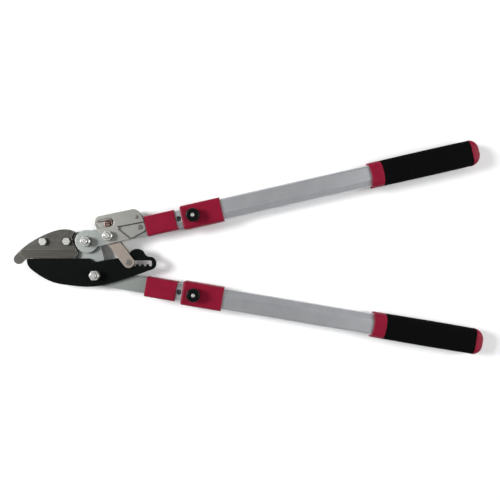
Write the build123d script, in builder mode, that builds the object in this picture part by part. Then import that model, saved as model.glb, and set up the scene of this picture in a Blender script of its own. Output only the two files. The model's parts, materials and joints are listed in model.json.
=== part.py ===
"""Ratchet anvil loppers with two telescopic handles, in millimetres.

The origin is on the blade's pivot axis, on the plane the tool lies on: the underside of the pivot
bolts' heads and of both grips. X runs from the jaws towards the handles, Y across the tool, Z up.
"""

import os
from math import cos, pi, radians, sin

from build123d import *

os.makedirs("parts", exist_ok=True)

# Steel head, thicknesses and running gaps
plate_thickness = 5.0
blade_thickness = 4.7
link_thickness = 2.5
cheek_thickness = 2.5
anvil_thickness = 5.0
anvil_strip_step = 0.6
running_gap = 0.3
shaft_clearance = 0.05
plate_edge = 0.4
cheek_edge = 0.8
sheet_edge = 0.3

# Pivot bolts, nuts, washers and bushes
pivot_bolt_radius = 4.0
pivot_bolt_across_flats = 13.0
pivot_head_height = 5.5
pivot_nut_height = 6.5
stud_height = 2.2
nut_countersink = 0.7
pivot_washer_radius = 7.2
pivot_washer_thickness = 2.5
bush_wall = 2.0
anvil_bolt_radius = 3.0
anvil_bolt_across_flats = 10.0
anvil_head_height = 4.0
anvil_nut_height = 5.0

# Where the four pivots stand with the jaws shut
lever_pivot_x = -13.0
lever_pivot_y = 49.8
link_pivot_along = 34.0
link_pivot_above = 0.7
link_pin_x = 49.0
link_pin_y = 19.2

# The handles' axes, measured from the pivot that each bar turns about
upper_angle = 12.77
upper_axis_offset = 2.3
upper_reach = 89.6
lower_angle = -9.55
lower_axis_offset = -3.6
lower_reach = 75.4

# Blade, anvil and frame plate
cutting_line_y = 25.1
blade_tip_x = -102.2
blade_heel_x = -8.5
bevel_width = 9.0
edge_flat = 0.5
slot_left_x = 42.5
slot_right_x = 82.8
slot_top_y = 21.9
tooth_tip_y = 16.4
notch_floor_y = 13.3
notch_count = 5
notch_pitch = 7.8
notch_mouth = 6.6
notch_floor = 2.2
lever_boss_radius = 17.0
frame_boss_radius = 16.5
arm_end_radius = 6.4
blade_boss_radius = 16.0
throat_corner = (-31.0, 30.0)
anvil_bolt_front = (-76.7, 49.5)
anvil_bolt_rear = (-42.0, 49.9)

# Lever bar, frame bar and their tangs, across the handle's axis
lever_bar_below = 13.3
lever_bar_above = 12.2
lever_bar_relief_above = 8.2
lever_bar_tail_above = 10.7
frame_bar_below = 11.1
frame_bar_above = 12.2
tang_length = 42.0

# Link
link_width = 16.7
link_pin_radius = 2.25
pin_head_radius = 4.0
pin_head_height = 1.2

# Cheeks, in the lever's own directions from its pivot
tab_rivet = (81.8, 2.9)
tab_rivet_radius = 2.5
tab_rivet_head_radius = 3.6
spacer_rivet = (80.6, 18.2)
spacer_rivet_radius = 1.6
spacer_radius = 3.0
rivet_head_height = 1.0
window_centre = (33.8, 19.6)
window_length = 25.0
window_width = 12.4
lance_gap = 1.4
cheek_front_corner = 10.0
cheek_rear_corner = 6.0

# Ratchet spring
spring_centre = (36.7, 18.3)
spring_coil_radius = 5.4
spring_wire_radius = 0.9
spring_turns = 3
spring_pitch = 2.2
spring_front_leg = 13.0
spring_rear_leg = 18.0
post_radius = 3.2
post_slot = 1.2

# Handle tubes: a flat-topped section with one sloping flank, on the side of the other handle
tube_width = 31.0
tang_seat_gap = 0.5
tube_wall = 1.5
flank_width = 9.0
flank_drop = 5.5
tube_corner_radius = 4.0
flank_corner_radius = 1.8
slide_clearance = 0.3
tube_step = 3.0

# Stations along a handle's axis, from the front of its sleeve
sleeve_length = 45.5
sleeve_front_wall = 3.0
sleeve_side_wall = 2.25
sleeve_corner_radius = 3.0
inner_tube_end = 425.0
bush_length = 20.0
clamp_start = 54.5
clamp_length = 60.0
clamp_front_wall = 5.5
clamp_width = 35.5
clamp_wall = 2.5
ring_start = 338.0
ring_length = 17.0
ring_width = 37.5
ring_scallop = 1.5
ring_bulge = 2.0
grip_length = 134.0
grip_width = 38.0
cap_length = 13.0
cap_stations = (0, 0.3, 0.55, 0.75, 0.9, 0.97)
cap_spigot = 14.0
soft_corner = 10.0
tang_rivet_stations = (13.0, 32.0)
tang_rivet_radius = 2.5

# Lock: a spring plunger that enters one of a row of holes in the inner tube
lock_station = 72.5
hole_pitch = 22.5
first_hole = 50.0
hole_count = 16
lock_hole_radius = 4.0
lock_pin_radius = 3.5
lock_travel = 2.5
collar_radius = 4.7
collar_thickness = 1.2
stem_radius = 2.7
stem_clearance = 0.2
stem_proud = 0.4
lock_bore_radius = 5.0
lock_boss_radius = 7.4
lock_boss_height = 5.6
lock_boss_roof = 1.5
knob_radius = 10.0
knob_roof = 3.0
knob_flute_radius = 1.3
knob_flute_count = 18
knob_flute_depth = 0.4
knob_edge = 2.2
lock_wire_radius = 0.45
lock_coil_radius = 3.7
lock_coil_turns = 2
lock_coil_end_room = 1.2
clamp_screw_stations = (88.0, 104.0)
clamp_screw_radius = 1.5
clamp_screw_head_radius = 3.0
clamp_screw_head_height = 1.6

# Heights worked out from the stack, from the floor up
frame_bottom = pivot_head_height + pivot_washer_thickness
mid_z = frame_bottom + plate_thickness
blade_bottom = mid_z + running_gap
blade_top = blade_bottom + blade_thickness
washer_bottom = blade_top + running_gap
front_link_top = washer_bottom + link_thickness
front_cheek_bottom = front_link_top + running_gap
front_cheek_top = front_cheek_bottom + cheek_thickness
rear_link_bottom = mid_z - link_thickness
rear_cheek_top = rear_link_bottom - running_gap
rear_cheek_bottom = rear_cheek_top - cheek_thickness
nut_bottom = washer_bottom + pivot_washer_thickness
anvil_top = mid_z + anvil_thickness
bush_radius = pivot_bolt_radius + bush_wall
grip_height = 2 * mid_z
tang_half_room = max(plate_thickness, running_gap + blade_thickness) + tang_seat_gap
tube_height = 2 * (tang_half_room + tube_wall + tube_step)
clamp_height = tube_height + 2 * clamp_wall
inner_width = tube_width - 2 * tube_step
inner_height = tube_height - 2 * tube_step
inner_top = mid_z + inner_height / 2
tube_top = mid_z + tube_height / 2
clamp_top = mid_z + clamp_height / 2
tang_outward = inner_width / 2 - tube_wall - slide_clearance
tang_inward = tube_width / 2 - flank_width - 1.3
tang_sides = {-1: (-tang_inward, tang_outward), 1: (-tang_outward, tang_inward)}


def handle_axis(pivot_x, pivot_y, angle, reach, offset):
    """The level plane at the front of a handle's sleeve, with its X along the handle."""
    along = Vector(cos(radians(angle)), sin(radians(angle)), 0)
    across = Vector(-along.Y, along.X, 0)
    start = Vector(pivot_x, pivot_y, mid_z) + along * reach + across * offset
    return Plane(origin=start, x_dir=along, z_dir=(0, 0, 1))


upper_handle = handle_axis(
    lever_pivot_x, lever_pivot_y, upper_angle, upper_reach, upper_axis_offset
)
lower_handle = handle_axis(0, 0, lower_angle, lower_reach, lower_axis_offset)
lever_directions = Plane(
    origin=(lever_pivot_x, lever_pivot_y, 0), x_dir=upper_handle.x_dir, z_dir=(0, 0, 1)
)


def raised(directions, height):
    """The same level directions at a given height above the floor."""
    return directions.offset(height - directions.origin.Z)


def station_level(handle, station, height):
    """A level plane over one station of a handle, at a height above the floor."""
    at = handle.from_local_coords(Vector(station, 0, height - mid_z))
    return Plane(origin=at, x_dir=handle.x_dir, z_dir=(0, 0, 1))


def section(handle, station):
    """The plane across a handle at one station: X across the tool, Y up."""
    at = handle.from_local_coords(Vector(station, 0, 0))
    return Plane(origin=at, x_dir=handle.y_dir, z_dir=handle.x_dir)


def save(piece, name):
    """Label a finished piece and write it."""
    piece.part.label = name
    export_step(piece.part, f"parts/{name}.step")


def lever_point(along, above):
    """A point given in the lever's directions from its pivot, in the tool's X and Y."""
    at = lever_directions.from_local_coords(Vector(along, above, 0))
    return (at.X, at.Y)


link_pivot = lever_point(link_pivot_along, link_pivot_above)
link_pin = (link_pin_x, link_pin_y)
lever_pivot = (lever_pivot_x, lever_pivot_y)

# ---- Frame plate: the lower bar, the throat between the pivots and the arm behind the anvil
with BuildPart() as frame_plate:
    with BuildSketch(Plane.XY.offset(frame_bottom)):
        with BuildSketch(mode=Mode.PRIVATE) as anvil_arm:
            with Locations(anvil_bolt_front):
                Circle(arm_end_radius)
            with Locations(lever_pivot):
                Circle(frame_boss_radius)
            make_hull()
        with BuildSketch(mode=Mode.PRIVATE) as throat:
            with Locations(lever_pivot):
                Circle(frame_boss_radius)
            with Locations(throat_corner):
                Circle(3.0)
            Circle(blade_boss_radius)
            make_hull()
        add(anvil_arm.sketch)
        add(throat.sketch)
        with BuildLine():
            Spline((9.5, 24.0), (15.0, 17.5), (31.0, 6.0), (56.0, -1.2))
            Line((56.0, -1.2), (50.0, -16.0))
            Line((50.0, -16.0), (0, 0))
            Line((0, 0), (9.5, 24.0))
        make_face()
    extrude(amount=plate_thickness)
    with BuildSketch(raised(lower_handle, frame_bottom)):
        with BuildLine():
            Polyline(
                (-lower_reach, -frame_bar_below),
                (0, -frame_bar_below),
                (0, -tang_outward),
                (tang_length, -tang_outward),
                (tang_length, tang_inward),
                (0, tang_inward),
                (0, frame_bar_above),
                (-lower_reach, frame_bar_above),
                close=True,
            )
        make_face()
    extrude(amount=plate_thickness)
    chamfer(frame_plate.edges().filter_by(Plane.XY), plate_edge)
    with Locations((0, 0, mid_z), (*lever_pivot, mid_z)):
        Hole(pivot_bolt_radius + shaft_clearance)
    with Locations((*anvil_bolt_front, mid_z), (*anvil_bolt_rear, mid_z)):
        Hole(anvil_bolt_radius + shaft_clearance)
    with Locations(*[station_level(lower_handle, s, mid_z) for s in tang_rivet_stations]):
        Hole(tang_rivet_radius)
save(frame_plate, "frame_plate")

# ---- Anvil: a flat hooked plate whose straight lower edge the blade closes on
with BuildPart() as anvil:
    with BuildSketch(Plane.XY.offset(mid_z)) as anvil_outline:
        with BuildLine():
            Line((-102.8, cutting_line_y), (-29.9, cutting_line_y))
            Spline((-29.9, cutting_line_y), (-27.3, 35.0), (-32.2, 46.0), (-31.2, 64.0))
            Spline(
                (-31.2, 64.0),
                (-43.7, 67.9),
                (-56.2, 66.5),
                (-79.7, 57.6),
                (-102.8, 43.5),
                (-118.5, 28.8),
            )
            ThreePointArc((-118.5, 28.8), (-119.6, 20.6), (-113.5, 16.6))
            Line((-113.5, 16.6), (-110.6, 17.4))
            Line((-110.6, 17.4), (-102.8, cutting_line_y))
        make_face()
    extrude(amount=anvil_thickness)
    with BuildSketch(Plane.XY.offset(anvil_top)):
        with BuildLine():
            Polyline(
                (-102.8, cutting_line_y),
                (-30.2, cutting_line_y),
                (-28.2, 34.5),
                (-29.5, 38.6),
                (-107.4, 38.6),
                (-112.5, 33.6),
                close=True,
            )
        make_face()
    extrude(amount=anvil_strip_step)
    chamfer(anvil.faces().sort_by(Axis.Z)[-1].outer_wire().edges(), sheet_edge)
    with Locations((*anvil_bolt_front, anvil_top), (*anvil_bolt_rear, anvil_top)):
        Hole(anvil_bolt_radius + shaft_clearance)
save(anvil, "anvil")


def hexagon(centre, bottom, height, across_flats, crown_up):
    """A hexagon that has the corners of one face turned off at 30 degrees."""
    corner = across_flats * 0.58
    crown = across_flats * 0.48
    crown_drop = (corner - crown) * 0.577
    with BuildPart() as piece:
        with BuildSketch(Plane(origin=(*centre, bottom))):
            RegularPolygon(across_flats / 2, 6, major_radius=False)
        extrude(amount=height)
        with BuildSketch(Plane(origin=(*centre, bottom), x_dir=(1, 0, 0), z_dir=(0, -1, 0))):
            with BuildLine():
                Polyline(
                    (0, 0),
                    (corner if crown_up else crown, 0),
                    (corner, 0.01 if crown_up else crown_drop),
                    (corner, height - crown_drop if crown_up else height),
                    (crown if crown_up else corner - 0.01, height),
                    (0, height),
                    close=True,
                )
            make_face()
        revolve(axis=Axis((*centre, bottom), (0, 0, 1)), mode=Mode.INTERSECT)
    return piece


def bolt(centre, head_bottom, head_height, radius, across_flats, top):
    """A hexagon bolt with its head below and its chamfered end above."""
    with BuildPart() as piece:
        add(hexagon(centre, head_bottom, head_height, across_flats, False).part)
        with BuildSketch(Plane(origin=(*centre, head_bottom + head_height))):
            Circle(radius)
        extrude(amount=top - head_bottom - head_height)
        chamfer(piece.edges().filter_by(GeomType.CIRCLE).sort_by(Axis.Z)[-1], 0.8)
    return piece


def nut(centre, bottom, height, radius, across_flats):
    """A hexagon nut, crown upwards."""
    with BuildPart() as piece:
        add(hexagon(centre, bottom, height, across_flats, True).part)
        with Locations((*centre, bottom + height)):
            Hole(radius)
        bore_rims = piece.edges().filter_by(lambda edge: edge.length < 2 * pi * radius + 0.01)
        chamfer(bore_rims.filter_by(GeomType.CIRCLE).sort_by(Axis.Z)[-1], nut_countersink)
    return piece


def washer_pair(centre):
    """The washer under a pivot bolt's head and the one under its nut."""
    with BuildPart() as piece:
        for bottom in (pivot_head_height, washer_bottom):
            with BuildSketch(Plane(origin=(*centre, bottom))):
                Circle(pivot_washer_radius)
                Circle(pivot_bolt_radius + shaft_clearance, mode=Mode.SUBTRACT)
            extrude(amount=pivot_washer_thickness)
    return piece


def pivot_bush(centre, bottom, top):
    """The turned sleeve round a pivot bolt that the moving plate turns on."""
    with BuildPart() as piece:
        with BuildSketch(Plane(origin=(*centre, bottom))):
            Circle(bush_radius)
            Circle(pivot_bolt_radius + shaft_clearance, mode=Mode.SUBTRACT)
        extrude(amount=top - bottom)
    return piece


# ---- The two pivots that stand on the frame plate
stud_top = nut_bottom + pivot_nut_height + stud_height
for name, centre in (("blade_pivot", (0, 0)), ("lever_pivot", lever_pivot)):
    save(
        bolt(
            centre, 0, pivot_head_height, pivot_bolt_radius, pivot_bolt_across_flats, stud_top
        ),
        f"{name}_bolt",
    )
    save(
        nut(
            centre, nut_bottom, pivot_nut_height, pivot_bolt_radius, pivot_bolt_across_flats
        ),
        f"{name}_nut",
    )
    save(washer_pair(centre), f"{name}_washers")
    save(pivot_bush(centre, mid_z, washer_bottom), f"{name}_bush")

# ---- Anvil bolts: heads over the anvil, nuts under the frame plate
with BuildPart() as anvil_bolts:
    for centre in (anvil_bolt_front, anvil_bolt_rear):
        with BuildSketch(Plane(origin=(*centre, anvil_top))):
            RegularPolygon(anvil_bolt_across_flats / 2, 6, major_radius=False)
        extrude(amount=anvil_head_height)
        with BuildSketch(Plane(origin=(*centre, anvil_top))):
            Circle(anvil_bolt_radius)
        extrude(amount=-(anvil_top - frame_bottom + anvil_nut_height + 1))
save(anvil_bolts, "anvil_bolts")

with BuildPart() as anvil_nuts:
    for centre in (anvil_bolt_front, anvil_bolt_rear):
        with BuildSketch(Plane(origin=(*centre, frame_bottom))):
            RegularPolygon(anvil_bolt_across_flats / 2, 6, major_radius=False)
            Circle(anvil_bolt_radius, mode=Mode.SUBTRACT)
        extrude(amount=-anvil_nut_height)
save(anvil_nuts, "anvil_nuts")

# ---- Blade: straight edge, curved back, and a tail slot with ratchet notches along its floor
edge_y = cutting_line_y - running_gap
with BuildPart() as blade:
    with BuildSketch(Plane.XY.offset(blade_bottom)):
        with BuildLine():
            Line((blade_tip_x, edge_y), (blade_heel_x, edge_y))
            ThreePointArc((blade_heel_x, edge_y), (-4.6, 20.8), (2.0, 19.6))
            Spline((2.0, 19.6), (17.0, 22.8), (32.0, 25.2), (44.0, 28.6), (51.5, 35.0))
            ThreePointArc((51.5, 35.0), (61.2, 39.0), (70.2, 34.9))
            Spline((70.2, 34.9), (75.0, 28.4), (80.5, 27.2))
            ThreePointArc((80.5, 27.2), (88.8, 17.0), (82.4, 8.5))
            Spline(
                (82.4, 8.5),
                (60.5, 0.7),
                (24.5, -10.6),
                (-3.0, -16.5),
                (-35.5, -15.0),
                (-62.0, -10.2),
                (-86.0, 2.2),
                (-97.5, 12.0),
                (blade_tip_x, edge_y),
            )
        make_face()
    extrude(amount=blade_thickness)
    with BuildSketch(Plane.XY.offset(blade_bottom)):
        with BuildLine():
            Line((slot_left_x, slot_top_y), (slot_right_x - 2.0, slot_top_y))
            ThreePointArc(
                (slot_right_x - 2.0, slot_top_y),
                (slot_right_x, (slot_top_y + tooth_tip_y) / 2),
                (slot_right_x - 1.0, tooth_tip_y),
            )
            Line((slot_right_x - 1.0, tooth_tip_y), (slot_left_x, tooth_tip_y))
            ThreePointArc(
                (slot_left_x, tooth_tip_y),
                (slot_left_x - 2.4, (slot_top_y + tooth_tip_y) / 2),
                (slot_left_x, slot_top_y),
            )
        make_face()
        for step in range(notch_count):
            x = link_pin_x + step * notch_pitch
            with BuildLine():
                Polyline(
                    (x - notch_mouth / 2, tooth_tip_y + 0.1),
                    (x - notch_floor / 2, notch_floor_y),
                    (x + notch_floor / 2, notch_floor_y),
                    (x + notch_mouth / 2, tooth_tip_y + 0.1),
                    close=True,
                )
            make_face()
    extrude(amount=blade_thickness, mode=Mode.SUBTRACT)
    bevel_rise = (blade_thickness - edge_flat) / 2
    with BuildSketch(Plane.YZ.offset(blade_tip_x - 5)):
        for face_z, up in ((blade_top, 1), (blade_bottom, -1)):
            with BuildLine():
                Polyline(
                    (edge_y - bevel_width, face_z),
                    (edge_y, face_z - up * bevel_rise),
                    (edge_y + 4, face_z - up * bevel_rise),
                    (edge_y + 4, face_z + up),
                    (edge_y - bevel_width, face_z + up),
                    close=True,
                )
            make_face()
    extrude(amount=blade_heel_x - blade_tip_x + 9, mode=Mode.SUBTRACT)
    with Locations((0, 0, blade_top)):
        Hole(bush_radius + shaft_clearance)
save(blade, "blade")

# ---- Lever bar: boss on the lever pivot, straight bar and the tang inside the upper handle
with BuildPart() as lever_bar:
    with BuildSketch(Plane(origin=(*lever_pivot, blade_bottom))):
        Circle(lever_boss_radius)
    extrude(amount=blade_thickness)
    with BuildSketch(raised(upper_handle, blade_bottom)):
        with BuildLine():
            Polyline(
                (-upper_reach, -lever_bar_below),
                (0, -lever_bar_below),
                (0, -tang_inward),
                (tang_length, -tang_inward),
                (tang_length, tang_outward),
                (-upper_reach + 52, lever_bar_tail_above),
                (-upper_reach + 46, lever_bar_relief_above),
                (-upper_reach + 27, lever_bar_relief_above),
                (-upper_reach + 18, lever_bar_above),
                (-upper_reach, lever_bar_above),
                close=True,
            )
        make_face()
    extrude(amount=blade_thickness)
    chamfer(lever_bar.edges().filter_by(Plane.XY), plate_edge)
    with Locations((*lever_pivot, blade_top)):
        Hole(bush_radius + shaft_clearance)
    with Locations((*link_pivot, blade_top)):
        Hole(bush_radius)
    with Locations((*lever_point(*tab_rivet), blade_top)):
        Hole(tab_rivet_radius)
    with Locations(*[station_level(upper_handle, s, blade_top) for s in tang_rivet_stations]):
        Hole(tang_rivet_radius)
save(lever_bar, "lever_bar")


def clear_of_tab(edge):
    """Whether an edge of a cheek's raised face stands away from the fold down to its tab."""
    middle = lever_directions.to_local_coords(edge.center())
    return middle.X < 44 or middle.Y > 12


def cheek(outer_face, bar_face, towards_bar, windowed):
    """A pressed cheek: a raised plate, with or without a window, and a tab down on to the lever bar."""
    seat = bar_face - towards_bar * cheek_thickness
    with BuildPart() as piece:
        with BuildSketch(raised(lever_directions, outer_face)) as outline:
            with BuildLine():
                Polyline((30.0, -11.2), (62.0, -10.8), (85.4, -4.0))
                ThreePointArc((85.4, -4.0), (88.3, -2.2), (88.9, 1.0))
                Line((88.9, 1.0), (88.9, 11.0))
                ThreePointArc((88.9, 11.0), (86.5, 20.6), (80.3, 31.0))
                Polyline((80.3, 31.0), (17.8, 32.0), (17.6, 20.8))
                Spline((17.6, 20.8), (20.4, 12.4), (24.6, 3.2), (30.0, -11.2))
            make_face()
            for end, corner_radius in ((0, cheek_front_corner), (-1, cheek_rear_corner)):
                top_corners = outline.vertices().filter_by(lambda corner: corner.Y > 30)
                fillet(top_corners.sort_by(Axis.X)[end], corner_radius)
        extrude(amount=towards_bar * cheek_thickness)
        with BuildSketch(raised(lever_directions, outer_face)) as tab_zone:
            with BuildLine():
                Polyline(
                    (49.8, 11.2), (48.2, 5.8), (62.0, -12.0), (92.0, -12.0), (92.0, 9.8), close=True
                )
            make_face()
        extrude(amount=towards_bar * (cheek_thickness + 1), mode=Mode.SUBTRACT)
        with BuildSketch(raised(lever_directions, seat)):
            add(outline.sketch_local)
            add(tab_zone.sketch_local, mode=Mode.INTERSECT)
            with BuildLine():
                Polyline(
                    (48.0, 11.2 - lance_gap),
                    (48.0, 13.0),
                    (92.0, 13.0),
                    (92.0, 9.8 - lance_gap),
                    close=True,
                )
            make_face(mode=Mode.SUBTRACT)
        extrude(amount=towards_bar * cheek_thickness)
        with BuildSketch(raised(lever_directions, outer_face)):
            with BuildLine():
                Polyline(
                    (48.6, 9.6),
                    (47.2, 5.6),
                    (60.6, -11.0),
                    (63.6, -10.4),
                    (50.0, 6.4),
                    (50.8, 9.6),
                    close=True,
                )
            make_face()
        extrude(amount=bar_face - outer_face)
        if windowed:
            with BuildSketch(raised(lever_directions, outer_face)):
                with Locations(window_centre):
                    SlotOverall(window_length, window_width)
            extrude(amount=towards_bar * (cheek_thickness + 1), mode=Mode.SUBTRACT)
        raised_face = piece.faces().filter_by(Plane.XY).sort_by(Axis.Z)[-1 if towards_bar < 0 else 0]
        rim = raised_face.edges().filter_by(clear_of_tab)
        fillet(rim, cheek_edge)
        with Locations((*link_pivot, outer_face)):
            Hole(pivot_bolt_radius + shaft_clearance)
        with Locations((*lever_point(*spacer_rivet), outer_face)):
            Hole(spacer_rivet_radius)
        with Locations((*lever_point(*tab_rivet), outer_face)):
            Hole(tab_rivet_radius)
    return piece


save(cheek(front_cheek_top, blade_top, -1, True), "cheek_front")
save(cheek(rear_cheek_bottom, blade_bottom, 1, False), "cheek_rear")


def link(bottom):
    """One side of the link pair, from the lever's link pivot down to the pin in the slot."""
    middle = ((link_pivot[0] + link_pin[0]) / 2, (link_pivot[1] + link_pin[1]) / 2)
    run = Vector(link_pin[0] - link_pivot[0], link_pin[1] - link_pivot[1], 0)
    with BuildPart() as piece:
        with BuildSketch(Plane(origin=(*middle, bottom), x_dir=run, z_dir=(0, 0, 1))):
            SlotCenterToCenter(run.length, link_width)
        extrude(amount=link_thickness)
        chamfer(piece.edges().filter_by(Plane.XY), sheet_edge)
        with Locations((*link_pivot, bottom + link_thickness)):
            Hole(bush_radius + shaft_clearance)
        with Locations((*link_pin, bottom + link_thickness)):
            Hole(link_pin_radius)
    return piece


save(link(washer_bottom), "link_front")
save(link(rear_link_bottom), "link_rear")

# ---- Link pin: works in the blade's slot, with a riveted head on each link
with BuildPart() as pin:
    with BuildSketch(Plane(origin=(*link_pin, rear_link_bottom))):
        Circle(link_pin_radius)
    extrude(amount=front_link_top - rear_link_bottom)
    with BuildSketch(Plane(origin=(*link_pin, front_link_top))):
        Circle(pin_head_radius)
    extrude(amount=pin_head_height)
    with BuildSketch(Plane(origin=(*link_pin, rear_link_bottom))):
        Circle(pin_head_radius)
    extrude(amount=-pin_head_height)
    heads = pin.faces().filter_by(Axis.Z).sort_by(Axis.Z)
    chamfer(heads[0].edges(), 0.5)
    chamfer(heads[-1].edges(), 0.5)
save(pin, "link_pin")

# ---- Link pivot: one bolt through both cheeks, both links and the lever bar
save(
    bolt(
        link_pivot,
        rear_cheek_bottom - pivot_head_height,
        pivot_head_height,
        pivot_bolt_radius,
        pivot_bolt_across_flats,
        front_cheek_top + pivot_nut_height + stud_height,
    ),
    "link_pivot_bolt",
)
save(
    nut(
        link_pivot,
        front_cheek_top,
        pivot_nut_height,
        pivot_bolt_radius,
        pivot_bolt_across_flats,
    ),
    "link_pivot_nut",
)
save(pivot_bush(link_pivot, rear_cheek_top, front_cheek_bottom), "link_bush")

# ---- Cheek rivets: one through the tabs and the bar, one through the spacer between the cheeks
with BuildPart() as cheek_rivets:
    tab_top = blade_top + cheek_thickness
    tab_bottom = blade_bottom - cheek_thickness
    for at, radius, head_radius, low, high in (
        (lever_point(*tab_rivet), tab_rivet_radius, tab_rivet_head_radius, tab_bottom, tab_top),
        (
            lever_point(*spacer_rivet),
            spacer_rivet_radius,
            spacer_rivet_radius + 0.8,
            rear_cheek_bottom,
            front_cheek_top,
        ),
    ):
        with BuildSketch(Plane(origin=(*at, low))):
            Circle(radius)
        extrude(amount=high - low)
        with BuildSketch(Plane(origin=(*at, high))):
            Circle(head_radius)
        extrude(amount=rivet_head_height, taper=25)
        with BuildSketch(Plane(origin=(*at, low))):
            Circle(head_radius)
        extrude(amount=-rivet_head_height, taper=25)
save(cheek_rivets, "cheek_rivets")

with BuildPart() as cheek_spacer:
    with BuildSketch(Plane(origin=(*lever_point(*spacer_rivet), rear_cheek_top))):
        Circle(spacer_radius)
        Circle(spacer_rivet_radius, mode=Mode.SUBTRACT)
    extrude(amount=front_cheek_bottom - rear_cheek_top)
save(cheek_spacer, "cheek_spacer")

# ---- Ratchet spring: a torsion coil round a slotted post, with one leg forwards and one back
spring_base = rear_cheek_top + spring_wire_radius + 1.4
spring_place = Plane(
    origin=(*lever_point(*spring_centre), spring_base),
    x_dir=lever_directions.y_dir,
    z_dir=(0, 0, 1),
)
with BuildPart() as coil_and_legs:
    with BuildLine() as wire:
        coil = Helix(spring_pitch, spring_pitch * spring_turns, spring_coil_radius)
        rear_leg = Line(coil @ 0, coil @ 0 - (coil % 0) * spring_rear_leg)
        Line(coil @ 1, coil @ 1 + (coil % 1) * spring_front_leg)
    with BuildSketch(Plane(origin=rear_leg @ 1, z_dir=coil % 0)):
        Circle(spring_wire_radius)
    sweep(path=wire.wire())
with BuildPart() as ratchet_spring:
    with Locations(spring_place):
        add(coil_and_legs.part)
save(ratchet_spring, "ratchet_spring")

with BuildPart() as spring_post:
    with BuildSketch(Plane(origin=(*lever_point(*spring_centre), rear_cheek_top))):
        Circle(post_radius)
    extrude(amount=front_cheek_bottom - rear_cheek_top)
    post_top = Plane(
        origin=(*lever_point(*spring_centre), front_cheek_bottom), x_dir=lever_directions.x_dir
    )
    with BuildSketch(post_top):
        Rectangle(2 * post_radius + 1, post_slot)
    extrude(amount=-2.0, mode=Mode.SUBTRACT)
save(spring_post, "spring_post")


def tube_section(plane, inward, inset):
    """The handle tube's outline, drawn inwards by an inset, with its flank on one side."""
    half_width = tube_width / 2 - inset
    half_height = tube_height / 2 - inset
    shrink = inset * 0.45
    flank_start = tube_width / 2 - flank_width - shrink
    flank_end = tube_height / 2 - flank_drop - shrink
    with BuildSketch(plane) as outline:
        with BuildLine():
            Polyline(
                (-inward * half_width, -half_height),
                (inward * flank_start, -half_height),
                (inward * half_width, -flank_end),
                (inward * half_width, flank_end),
                (inward * flank_start, half_height),
                (-inward * half_width, half_height),
                close=True,
            )
        make_face()
        outer_side = outline.vertices().filter_by(
            lambda corner: inward * corner.X < -half_width + 0.01
        )
        fillet(outer_side, max(tube_corner_radius - inset, 0.8))
        inner_side = outline.vertices().filter_by(lambda corner: inward * corner.X > 0)
        fillet(inner_side, max(flank_corner_radius - inset / 2, 0.5))
    return outline.sketch


def soft_section(plane, width, height, radius):
    """A rounded rectangle across a handle."""
    with BuildSketch(plane) as outline:
        RectangleRounded(width, height, radius)
    return outline.sketch


def tube(handle, inward, start, end, inset):
    """A length of handle tube."""
    outside = tube_section(section(handle, start), inward, inset)
    inside = tube_section(section(handle, start), inward, inset + tube_wall)
    with BuildPart() as piece:
        extrude(outside, amount=end - start)
        extrude(inside, amount=end - start, mode=Mode.SUBTRACT)
    return piece


hole_stations = [first_hole + step * hole_pitch for step in range(hole_count)]
ring_end = ring_start + ring_length
grip_end = ring_end + grip_length
outer_tube_start = clamp_start + clamp_front_wall
tang_bottoms = {"upper": blade_bottom, "lower": frame_bottom}
tang_tops = {"upper": blade_top, "lower": mid_z}
inner_floor = mid_z - inner_height / 2 + tube_wall
inner_ceiling = mid_z + inner_height / 2 - tube_wall
packer_spans = {"upper": (inner_floor, blade_bottom), "lower": (mid_z, inner_ceiling)}

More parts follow.
